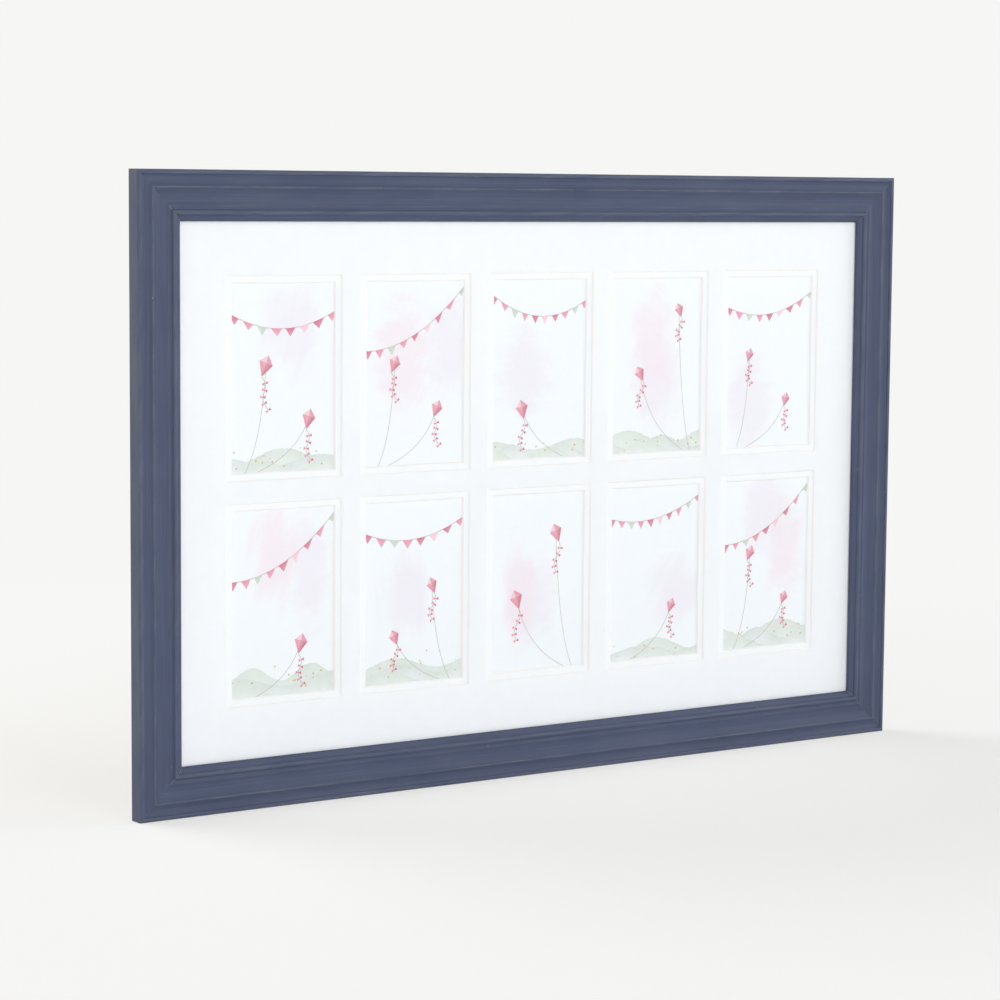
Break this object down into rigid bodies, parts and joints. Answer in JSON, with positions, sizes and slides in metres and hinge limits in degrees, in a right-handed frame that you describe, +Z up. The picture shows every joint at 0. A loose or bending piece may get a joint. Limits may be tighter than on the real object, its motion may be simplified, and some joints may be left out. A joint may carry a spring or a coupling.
{
  "type": "collage photo frame",
  "caption": "Wide picture frame of stepped, mitred moulding with glass, a double mat of portrait windows, prints, backing board, turn buttons and D-ring hangers.",
  "frame": {"origin": "middle of the bottom edge, half way through the moulding's depth", "axes": "+X to the right along the frame, +Y to the back, +Z up; the glass faces -Y"},
  "size_m": [0.724, 0.0187, 0.4729],
  "materials": {
    "painted_wood": "chalky blue paint, worn at the edges",
    "clear_glass": "clear float glass",
    "mat_board": "smooth white mat board",
    "photo_paper": "satin print",
    "hardboard": "brown hardboard",
    "zinc_steel": "zinc plated steel"
  },
  "bodies": {
    "frame": {"rail_top": "painted_wood", "rail_bottom": "painted_wood", "rail_left": "painted_wood", "rail_right": "painted_wood", "corner_v_nails": "zinc_steel", "glass_pane": "clear_glass", "top_mat": "mat_board", "under_mat": "mat_board", "photo_row1_1": "photo_paper", "photo_row1_2": "photo_paper", "photo_row1_3": "photo_paper", "photo_row1_4": "photo_paper", "photo_row1_5": "photo_paper", "photo_row2_1": "photo_paper", "photo_row2_2": "photo_paper", "photo_row2_3": "photo_paper", "photo_row2_4": "photo_paper", "photo_row2_5": "photo_paper", "backing_board": "hardboard", "turn_button_screws": "zinc_steel", "hanger_screws": "zinc_steel", "hanger_strap_1": "zinc_steel", "hanger_strap_2": "zinc_steel", "hanger_strap_3": "zinc_steel", "hanger_strap_4": "zinc_steel"},
    "turn_button_1": {"turn_button_1": "zinc_steel"},
    "turn_button_2": {"turn_button_2": "zinc_steel"},
    "turn_button_3": {"turn_button_3": "zinc_steel"},
    "turn_button_4": {"turn_button_4": "zinc_steel"},
    "turn_button_5": {"turn_button_5": "zinc_steel"},
    "turn_button_6": {"turn_button_6": "zinc_steel"},
    "turn_button_7": {"turn_button_7": "zinc_steel"},
    "turn_button_8": {"turn_button_8": "zinc_steel"},
    "turn_button_9": {"turn_button_9": "zinc_steel"},
    "turn_button_10": {"turn_button_10": "zinc_steel"},
    "hanger_ring_1": {"hanger_ring_1": "zinc_steel"},
    "hanger_ring_2": {"hanger_ring_2": "zinc_steel"},
    "hanger_ring_3": {"hanger_ring_3": "zinc_steel"},
    "hanger_ring_4": {"hanger_ring_4": "zinc_steel"}
  },
  "joints": [
    {"name": "turn_button_1_turn", "type": "hinge", "parent": "frame", "child": "turn_button_1", "pos_m": [-0.17005, 0.00707, 0.4505], "axis": [0, 1, 0], "continuous": true},
    {"name": "turn_button_2_turn", "type": "hinge", "parent": "frame", "child": "turn_button_2", "pos_m": [0, 0.00707, 0.4505], "axis": [0, 1, 0], "continuous": true},
    {"name": "turn_button_3_turn", "type": "hinge", "parent": "frame", "child": "turn_button_3", "pos_m": [0.17005, 0.00707, 0.4505], "axis": [0, 1, 0], "continuous": true},
    {"name": "turn_button_4_turn", "type": "hinge", "parent": "frame", "child": "turn_button_4", "pos_m": [-0.17005, 0.00707, 0.0224], "axis": [0, 1, 0], "continuous": true},
    {"name": "turn_button_5_turn", "type": "hinge", "parent": "frame", "child": "turn_button_5", "pos_m": [0, 0.00707, 0.0224], "axis": [0, 1, 0], "continuous": true},
    {"name": "turn_button_6_turn", "type": "hinge", "parent": "frame", "child": "turn_button_6", "pos_m": [0.17005, 0.00707, 0.0224], "axis": [0, 1, 0], "continuous": true},
    {"name": "turn_button_7_turn", "type": "hinge", "parent": "frame", "child": "turn_button_7", "pos_m": [-0.33965, 0.00707, 0.1615], "axis": [0, 1, 0], "continuous": true},
    {"name": "turn_button_8_turn", "type": "hinge", "parent": "frame", "child": "turn_button_8", "pos_m": [-0.33965, 0.00707, 0.3114], "axis": [0, 1, 0], "continuous": true},
    {"name": "turn_button_9_turn", "type": "hinge", "parent": "frame", "child": "turn_button_9", "pos_m": [0.33965, 0.00707, 0.1615], "axis": [0, 1, 0], "continuous": true},
    {"name": "turn_button_10_turn", "type": "hinge", "parent": "frame", "child": "turn_button_10", "pos_m": [0.33965, 0.00707, 0.3114], "axis": [0, 1, 0], "continuous": true},
    {"name": "hanger_ring_1_swing", "type": "hinge", "parent": "frame", "child": "hanger_ring_1", "pos_m": [-0.25005, 0.00941, 0.4549], "axis": [1, 0, 0], "range_deg": [0, 180]},
    {"name": "hanger_ring_2_swing", "type": "hinge", "parent": "frame", "child": "hanger_ring_2", "pos_m": [0.25005, 0.00941, 0.4549], "axis": [1, 0, 0], "range_deg": [0, 180]},
    {"name": "hanger_ring_3_swing", "type": "hinge", "parent": "frame", "child": "hanger_ring_3", "pos_m": [-0.34405, 0.00941, 0.0965], "axis": [0, 0, 1], "range_deg": [0, 180]},
    {"name": "hanger_ring_4_swing", "type": "hinge", "parent": "frame", "child": "hanger_ring_4", "pos_m": [-0.34405, 0.00941, 0.3764], "axis": [0, 0, 1], "range_deg": [0, 180]}
  ]
}
